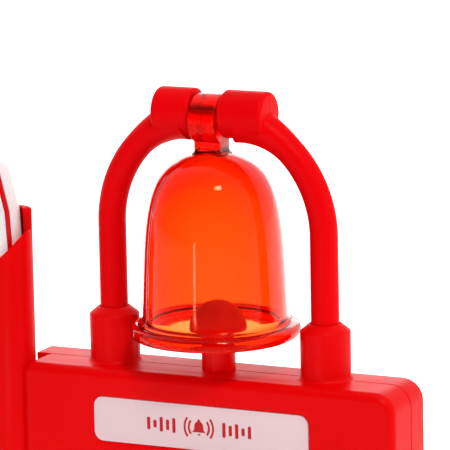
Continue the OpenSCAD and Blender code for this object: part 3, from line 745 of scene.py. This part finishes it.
def bell():
    """The clear bell: a thin wall, a flared rim with a bead, and a lug on a neck."""
    steps = 40
    outer = [(0.0, CROWN)]
    for k in range(1, steps + 1):
        z = 16.0 + (CROWN - 16.0) * math.sin(math.radians(90 * (1 - k / steps)))
        outer.append((bell_wall_at(z), z))
    peak = CROWN - BELL_WALL
    inner = [(0.0, peak)]
    for k in range(1, steps + 1):
        z = 14.6 + (peak - 14.6) * math.sin(math.radians(90 * (1 - k / steps)))
        inner.append((max(bell_wall_at(z * CROWN / peak) - BELL_WALL, 0.0), z))
    flare = arc((22.5, 15.7), 2.35, 176, 262, 12)
    bead = arc((21.9, 11.35), 1.99, 76, -196, 30)
    profile = outer[:-1] + flare + bead + [(19.1, 12.6)] + inner[::-1]
    wall = lathe("bell", profile, (BELL_X, 0, TOP), "Z", 192)
    # the mould's line down the wall
    for v in wall.data.vertices:
        x, y = v.co.x / MM - BELL_X, v.co.y / MM
        turn = math.degrees(math.atan2(y, x))
        z = v.co.z / MM - TOP
        if abs(turn - MOULD_TURN) < 0.9 and math.hypot(x, y) > 4 and math.hypot(x, y) > bell_wall_at(z) - 0.7:
            v.co.x += 0.09 * MM * math.cos(math.radians(turn))
            v.co.y += 0.09 * MM * math.sin(math.radians(turn))
    rings = []
    for k in range(0, 11):
        a = math.radians(90 * k / 10)
        grow = 0.8 * (1 - math.sin(a))
        z = TOP + CROWN - 0.3 + 0.8 * (1 - math.cos(a))
        rings.append(neck_ring(4.0 + grow, 3.4 + grow, 0.8 + grow, z))
    rings.insert(0, neck_ring(4.8, 4.2, 1.6, TOP + CROWN - 1.2))
    rings.append(neck_ring(4.0, 3.4, 0.8, AXLE_Z - 1))
    neck = loft("neck", rings)
    lug = [(0, -LUG_W / 2)] + arc((LUG_R - 0.5, -LUG_W / 2 + 0.5), 0.5, -90, 0, 5)
    lug += arc((LUG_R - 0.5, LUG_W / 2 - 0.5), 0.5, 0, 90, 5) + [(0, LUG_W / 2)]
    weld(neck, lathe("lug", lug, (BELL_X, 0, AXLE_Z - LUG_DROP), "X", 96))
    weld(wall, neck)
    cut(wall, tube("axle_hole", (0, 0, AXLE_Z), 1.25, -20, 20, 32, "X"))
    return smooth(wall, 32)


def neck_ring(half_x, half_y, corner, z):
    ring = outline(BELL_X - half_x, BELL_X + half_x, -half_y, half_y, [corner] * 4, 8)
    return [(x, y, z) for x, y in ring]


def lamp_post():
    profile = [(2.6, -7.6), (6.3, -7.6), (6.5, -7.4), (6.5, -3.9), (6.3, -3.7), (POST_R, -3.7), (POST_R, 15.6),
               (POST_R - 0.4, 16), (2.6, 16)]
    return smooth(lathe("lamp_post_skin", profile, (LAMP_X, 0, TOP), "Z", 96))


def lamp_cap():
    """The mushroom cap, with a rounded lower lip and a hollow for the post and the lamp."""
    dome = [(0, CAP_MIDDLE + CAP_R)] + arc((0, CAP_MIDDLE), CAP_R, 85, 0, 17)
    lip = arc((CAP_R - 0.5, 8.5), 0.5, 0, -90, 6)
    hollow = [(POST_R + 0.25, 8), (POST_R + 0.05, 8.2), (POST_R + 0.05, 12.1),
              (2.7, 12.1), (2.7, 15.2), (0, 15.2)]
    return smooth(lathe("lamp_cap_skin", dome + lip + hollow, (LAMP_X, 0, TOP), "Z", 96))


# ---------------------------------------------------------------- the label

def label_plate():
    rings = []
    for inset, y in ((0.0, plate_high.y), (0.0, plate_low.y + 0.12),
                     (0.05, plate_low.y + 0.03), (0.14, plate_low.y)):
        ring = outline(plate_low.x + inset, plate_high.x - inset, plate_low.z + inset, plate_high.z - inset,
                       [2.8 - inset] * 4)
        rings.append([(x, y, z) for x, z in ring])
    return smooth(loft("label_card", rings))


def label_print():
    """A printed bell with sound arcs and bars either side of it."""
    y0, y1 = plate_low.y - 0.02, plate_low.y + 0.02
    middle_x = (plate_low.x + plate_high.x) / 2 - 0.3
    middle_z = (plate_low.z + plate_high.z) / 2 + 0.05
    marks = []

    def mark(points):
        marks.append(prism("mark", [(middle_x + x, middle_z + z) for x, z in points], y0, y1))

    body = [(-2.1, -1.3), (2.1, -1.3), (1.5, -0.6)] + arc((0, 0.5), 1.35, 0, 180, 14) + [(-1.5, -0.6)]
    mark(body)
    mark(arc((0, -1.75), 0.45, 180, 360, 8))
    mark(arc((0, 2.05), 0.4, 0, 330, 10))
    for side in (-1, 1):
        for reach in (3.4, 4.7):
            swing = 38
            outside = arc((0, 0), reach, -swing, swing, 12)
            inside = arc((0, 0), reach - 0.62, swing, -swing, 12)
            mark([(side * x, z) for x, z in outside + inside])
        for k, (tall, wide) in enumerate(((2.1, 1.0), (1.5, 1.0), (2.1, 1.0), (1.1, 1.0), (1.8, 1.0))):
            near = 7.2 + 1.95 * k
            mark([(side * x, z) for x, z in outline(near, near + wide, -tall, tall, [0.35] * 4, 4)])
    printed = together("label_print", marks)
    tidy(printed)
    return printed


# ---------------------------------------------------------------- the handle, the door and the knob

def pull_handle():
    """A rounded bar on two stems."""
    low, high = span("pull_handle")
    y0, y1 = low.y, FRONT - 1.6
    middle = (low.z + high.z) / 2
    rings = []
    for k in range(0, 13):
        a = math.radians(180 * k / 12)
        y = (y0 + y1) / 2 - (y1 - y0) / 2 * math.cos(a)
        round_off = 1 - math.sin(a)
        full = 1.4 if k > 6 else 2.6
        inset = full * (1 - math.sqrt(max(0.0, 1 - round_off ** 2)))
        half = 6.0 if k > 6 else 5.9
        ring = outline(low.x + inset, high.x - inset, middle - half + inset, middle + half - inset,
                       [half - inset - 0.05] * 4, 12)
        rings.append([(x, y, z) for x, z in ring])
    bar = loft("handle_bar", rings)
    for side in (-1, 1):
        weld(bar, block("stem", (side * STEM_X - 3, y1 - 1.5, middle - 3.5),
                        (side * STEM_X + 3, high.y, middle + 3.5), 0.3))
        cut(bar, tube("stem_pilot", (side * STEM_X, 0, middle), 0.9, -17, high.y + 1, 24, "Y"))
    return smooth(bar)


def battery_door():
    """The door, with ribs inside that hold the cells and grooves outside for a fingertip."""
    rings = []
    for y, inset in ((BACK - 1.4, 0.0), (BACK - 0.35, 0.0), (BACK - 0.1, 0.1), (BACK, 0.35)):
        ring = outline(door_low.x + inset, door_high.x - inset,
                       door_low.z + inset, door_high.z - inset, [1.8] * 4)
        rings.append([(x, y, z) for x, z in ring])
    door = loft("battery_door_skin", rings)
    for z in (27.0, 51.5):
        weld(door, block("cell_rib", (-17.6, BACK - WALL - 0.1, z - 0.6), (17.6, BACK - 1.3, z + 0.6)))
    cut(door, tube("screw_hole", (0, 0, DOOR_SCREW_Z), 1.3, -1, BACK + 1, 32, "Y"))
    for k in range(-1, 2):
        z = 19.5 + 2 * k
        groove = [(z - 0.5, BACK + 0.1), (z - 0.3, BACK - 0.45), (z + 0.3, BACK - 0.45), (z + 0.5, BACK + 0.1)]
        cut(door, loft("finger_groove", [[(x, y, gz) for gz, y in groove] for x in (-8, 8)]))
    return smooth(door)


def power_knob():
    low, high = span("power_knob")
    inner = BACK - WALL
    knob = block("knob_skin", (low.x, inner - 2, low.z), (high.x, BACK - 0.2, high.z), 0.2, 2)
    for k in range(3):
        x = low.x + 0.3 + 1.3 * k
        weld(knob, block("knob_rib", (x, BACK - 0.4, low.z + 0.05), (x + 0.7, high.y, high.z - 0.05), 0.15, 2))
    return smooth(knob)


# ---------------------------------------------------------------- the holster and the hand piece

def stadium(radius, z, shorter=0.0):
    """The holster's plan at a height: straight sides and two round ends."""
    right_c, left_c = HOLSTER_RIGHT - HOLSTER_R - shorter, holster_low.x + HOLSTER_R + shorter
    points = arc((right_c, -HOLSTER_R), radius, -90, 90, 32)
    points += arc((left_c, -HOLSTER_R), radius, 90, 270, 32)
    return [(x, y, z) for x, y in points]


def holster():
    """A deep flat cup with round ends, an open scoop at its front, and a softened rim."""
    rise = holster_high.z
    rings = []
    for a in range(0, 91, 18):
        turn = math.radians(a)
        rings.append(stadium(HOLSTER_R - 0.6 + 0.6 * math.sin(turn), 0.6 - 0.6 * math.cos(turn)))
    rings.append(stadium(HOLSTER_R, rise - 0.35))
    rings.append(stadium(HOLSTER_R - 0.12, rise - 0.1))
    rings.append(stadium(HOLSTER_R - 0.4, rise))
    cup = loft("holster_skin", rings)
    for z in (SCREW_LOW, TOP - SCREW_DROP):
        weld(cup, block("tab", (HOLSTER_RIGHT - 2.5, -2, z - 4.4), (LEFT + 13.4, -0.05, z + 4.4)))
    space = [stadium(HOLSTER_R - 1.6, z, END_WALL) for z in (2.9, rise - 0.4)]
    space += [stadium(HOLSTER_R - 1.3, z, END_WALL) for z in (rise + 0.02, rise + 5)]
    cut(cup, loft("holster_space", space))
    middle = (HOLSTER_RIGHT + holster_low.x) / 2
    lip = -HOLSTER_R + 1.6
    cut(cup, prism("scoop", arc_ellipse((middle, SCOOP_Z), SCOOP_A, SCOOP_B, 0, 357.5, 143), -40, lip))
    for side in (-1, 1):
        slope = [(lip - 0.3, rise - 1.5), (lip - 0.3, rise + 1), (lip + 1.3, rise + 1), (lip + 1.2, rise)]
        ends = sorted((middle + side * 18, middle + side * 24))
        cut(cup, loft("lip_slope", [[(x, y, z) for y, z in slope] for x in ends]))
    for z in (SCREW_LOW, TOP - SCREW_DROP):
        cut(cup, tube("tab_hole", (-SCREW_X, 0, z), 1.3, -5, 2, 24, "Y"))
    round_edges(cup, 0.22, 2, 50)
    return smooth(cup)


def arc_ellipse(centre, a, b, start, end, steps):
    turns = [math.radians(start + (end - start) * k / steps) for k in range(steps + 1)]
    return [(centre[0] + a * math.cos(t), centre[1] + b * math.sin(t)) for t in turns]


def hand_outline(inset, y):
    """The hand piece's outline at a depth: straight sides, sloping shoulders and round corners."""
    half = HAND_HALF
    head = half - 3.6
    corner = 4.0
    peak, foot = HEAD_Z - corner, 3 + corner
    spots = [(-half + corner, foot, 180, 270), (half - corner, foot, 270, 360),
             (half - corner, SHOULDER_Z, 0, 3.8), (half - 0.8 - corner, HIP_Z, 3.8, 14.3),
             (head - corner, peak, 14.3, 90), (-head + corner, peak, 90, 165.7),
             (-half + 0.8 + corner, HIP_Z, 165.7, 176.2), (-half + corner, SHOULDER_Z, 176.2, 180)]
    points = []
    for x, z, start, end in spots:
        points += arc((HAND_MIDDLE + x, z), max(corner - inset, 0.2), start, end, 10)
    return [(x, y, z) for x, z in points]


def hand_layer(name, start, end, steps=10):
    """A slice of the hand piece's rounded body between two depth angles."""
    rings = []
    for k in range(steps + 1):
        a = math.radians(start + (end - start) * k / steps)
        rings.append(hand_outline(HAND_R * (1 - math.cos(a)), -HOLSTER_R + HAND_R * math.sin(a)))
    return loft(name, rings)


def talk_window(grow, y0, y1, name="talk_window"):
    half = HAND_HALF - 5.5 + grow
    window = outline(HAND_MIDDLE - half, HAND_MIDDLE + half, TALK_LOW - grow, TALK_HIGH + grow, [4 + grow] * 4)
    return prism(name, window, y0, y1)


def hand_back():
    back = hand_layer("hand_back_skin", BAND_HIGH, 70, 18)
    mouth = -HOLSTER_R + HAND_R * math.sin(math.radians(BAND_HIGH)) - 1
    cut(back, loft("hand_space", [hand_outline(3.4, y) for y in (mouth, -HOLSTER_R + 2.8)]))
    for z in (15.0, TOP + 20):
        cut(back, tube("screw_well", (HAND_MIDDLE, 0, z), 2.1, -HOLSTER_R + 3.3, 1, 32, "Y"))
    return smooth(back)


def hand_band():
    """The red band between the hand piece's halves, a hair below them."""
    rings = []
    for k in range(7):
        a = math.radians(BAND_LOW + (BAND_HIGH - BAND_LOW) * k / 6)
        sunk = 0.12 if 0 < k < 6 else 0.3
        rings.append(hand_outline(HAND_R * (1 - math.cos(a)) + sunk, -HOLSTER_R + HAND_R * math.sin(a)))
    band = loft("hand_band_skin", rings)
    ends = (rings[0][0][1] - 1, rings[-1][0][1] + 1)
    cut(band, loft("band_space", [hand_outline_offset(4.2, y) for y in ends]))
    return smooth(band)


def hand_outline_offset(inset, y):
    """The hand piece's outline drawn in by more than its corners' radius."""
    half, head = HAND_HALF - inset, HAND_HALF - 3.6 - inset - 0.6
    points = [(-half, 3 + inset), (half, 3 + inset), (half, SHOULDER_Z), (half - 0.8, HIP_Z),
              (head, HEAD_Z - inset), (-head, HEAD_Z - inset), (-half + 0.8, HIP_Z), (-half, SHOULDER_Z)]
    return [(HAND_MIDDLE + x, y, z) for x, z in points]


def hand_front():
    front = hand_layer("hand_front_skin", -75, BAND_LOW, 8)
    cut(front, talk_window(0, -40, 0))
    return smooth(front)


def talk_bar():
    y0 = -HOLSTER_R - HAND_R
    y1 = -HOLSTER_R + HAND_R * math.sin(math.radians(BAND_LOW)) + 0.4
    rings = []
    for y, inset in ((y0, 0.9), (y0 + 0.12, 0.55), (y0 + 0.3, 0.3), (y0 + 0.4, 0.25), (y1, 0.25)):
        half = HAND_HALF - 5.5 - inset
        ring = outline(HAND_MIDDLE - half, HAND_MIDDLE + half,
                       TALK_LOW + inset, TALK_HIGH - inset, [4 - inset] * 4)
        rings.append([(x, y, z) for x, z in ring])
    bar = loft("talk_bar_skin", rings)
    weld(bar, talk_window(0.8, y1 - 0.3, y1 + 0.3, "flange"))
    return smooth(bar)


# ---------------------------------------------------------------- every piece, dressed

dress(front_shell(), red_plastic, "root", "red_plastic", "front_shell")
dress(rear_shell(), red_plastic, "root", "red_plastic", "rear_shell")
dress(arm("arm_left", -1, LUG_W / 2 + 0.4 - BELL_X), arch_plastic, "root", "arch_plastic", "left_arm")
dress(arm("arm_right", 1, LUG_W / 2 + 0.4 + BELL_X), arch_plastic, "root", "arch_plastic", "right_arm")
dress(bell(), bell_plastic, "bell_body", "clear_orange", "bell")
# painted light: the post and cap get the brightened red that offsets the shade under the bell
dress(lamp_post(), lamp_plastic_brightened, "root", "lamp_red", "lamp_post")
dress(lamp_cap(), lamp_plastic_brightened, "root", "lamp_red", "lamp_cap")
dress(label_plate(), label_card, "root", "label", "label_plate")
dress(label_print(), print_ink, "root", "label")
dress(pull_handle(), white_plastic, "handle", "white_plastic", "pull_handle")
dress(battery_door(), red_plastic, "door", "red_plastic", "battery_door")
dress(power_knob(), black_plastic, "knob", "black_plastic", "power_knob")
dress(holster(), red_plastic, "root", "red_plastic", "holster")
dress(hand_back(), white_plastic, "hand_piece", "white_plastic", "hand_back")
dress(hand_band(), band_plastic, "hand_piece", "band_red", "hand_band")
dress(hand_front(), white_plastic, "hand_piece", "white_plastic", "hand_front")
dress(talk_bar(), band_plastic, "talk", "band_red", "talk_bar")

INSIDE = {
    "axle_pin": steel, "lamp_led": led_epoxy, "handle_carriage": grey_plastic, "carriage_screws": steel,
    "return_spring": steel, "trip_switch": black_plastic, "circuit_board": board_mask, "board_screws": steel,
    "sound_chip": black_plastic, "speaker_basket": black_plastic, "speaker_cone": cone_paper,
    "speaker_magnet": steel, "battery_cells": cell_sleeve, "contact_springs": steel, "contact_plates": steel,
    "door_screw": steel, "power_switch": grey_plastic, "shell_screws": steel, "hand_screws": steel,
    "wiring": wire_skin}
for node_name, finish in INSIDE.items():
    for material_slot in frame["nodes"][node_name].material_slots:
        material_slot.link = "OBJECT"
        material_slot.material = finish


# ---------------------------------------------------------------- light, floor and camera

def camera():
    """The viewpoint: a long lens, a little above the bell, seen from the right."""
    target = Vector((2.565, 0, 40.96 + TOP)) * MM
    turn, rise, tilt = math.radians(25.8635), math.radians(11.1928), math.radians(-1.1337)
    back = Vector((math.sin(turn) * math.cos(rise), -math.cos(turn) * math.cos(rise), math.sin(rise)))
    across = Vector((0, 0, 1)).cross(back).normalized()
    up = back.cross(across)
    right = across * math.cos(tilt) + up * math.sin(tilt)
    upright = up * math.cos(tilt) - across * math.sin(tilt)
    place = Matrix((right, upright, back)).transposed().to_4x4()
    place.translation = target + back * 1.0962
    data = bpy.data.cameras.new("viewpoint")
    data.sensor_width = 36.0
    data.lens = 317.56
    data.clip_end = 50.0
    seen = bpy.data.objects.new("viewpoint", data)
    seen.matrix_world = place
    bpy.context.scene.collection.objects.link(seen)
    bpy.context.scene.camera = seen


def area_light(name, place, target, size, power, shines=True):
    """A soft light. One that doesn't shine leaves no highlight on gloss."""
    data = bpy.data.lights.new(name, "AREA")
    data.shape = "RECTANGLE"
    data.size, data.size_y = size
    data.energy = power
    light = bpy.data.objects.new(name, data)
    aim = (Vector(target) - Vector(place)).to_track_quat("-Z", "Y")
    light.matrix_world = Matrix.Translation(place) @ aim.to_matrix().to_4x4()
    light.visible_camera = False
    light.visible_glossy = shines
    light.visible_transmission = False
    bpy.context.scene.collection.objects.link(light)


def floor():
    """A pale floor with a painted glow: none in front of the box, rising to brighter behind it."""
    data = bpy.data.meshes.new("floor")
    reach = 8.0
    data.from_pydata([(-reach, -reach, 0), (reach, -reach, 0), (reach, reach, 0), (-reach, reach, 0)], [],
                     [(0, 1, 2, 3)])
    ground = bpy.data.objects.new("floor", data)
    bpy.context.scene.collection.objects.link(ground)
    material = bpy.data.materials.new("studio_floor")
    material.use_nodes = True
    tree = material.node_tree
    shader = tree.nodes["Principled BSDF"]
    shader.inputs["Base Color"].default_value = (0.85, 0.85, 0.85, 1)
    shader.inputs["Roughness"].default_value = 0.9
    shader.inputs["Specular IOR Level"].default_value = 0.1
    shader.inputs["Emission Color"].default_value = (1, 1, 1, 1)
    where = tree.nodes.new("ShaderNodeTexCoord")
    split = tree.nodes.new("ShaderNodeSeparateXYZ")
    tree.links.new(where.outputs["Object"], split.inputs[0])
    # painted light: the floor glows, from nothing in front of the box to 0.8 behind it
    tree.links.new(remap(tree, split.outputs["Y"], -0.3, 0.3, 0.0, 0.8), shader.inputs["Emission Strength"])
    data.materials.append(material)


def world():
    """A pale surround, bright behind and above the box and dim in front of it."""
    surroundings = bpy.data.worlds.new("studio")
    surroundings.use_nodes = True
    tree = surroundings.node_tree
    shade = tree.nodes["Background"]
    shade.inputs["Color"].default_value = (1, 1, 1, 1)
    where = tree.nodes.new("ShaderNodeTexCoord")
    dot = tree.nodes.new("ShaderNodeVectorMath")
    dot.operation = "DOT_PRODUCT"
    dot.inputs[1].default_value = (0.15, 0.9, 0.4)
    tree.links.new(where.outputs["Generated"], dot.inputs[0])
    tree.links.new(remap(tree, dot.outputs["Value"], -0.5, 0.4, 0.06, 0.95), shade.inputs["Strength"])
    bpy.context.scene.world = surroundings


bpy.context.scene.view_settings.view_transform = "Standard"
camera()
floor()
world()
area_light("key", (0.5, -0.6, 1.1), (0, 0, 0.12), (0.24, 0.16), 6.4)
area_light("fill", (-1.3, -1.2, 0.7), (0, 0, 0.1), (1.0, 1.0), 5.8, False)
area_light("side", (1.4, -0.3, 0.6), (0, 0, 0.1), (0.8, 0.8), 2.4, False)
area_light("back", (-0.6, 1.1, 0.45), (0, 0, 0.1), (1.0, 0.5), 3.0)
area_light("strip", (-0.065, -0.62, 0.07), (0, 0, 0.12), (0.035, 0.13), 0.3)
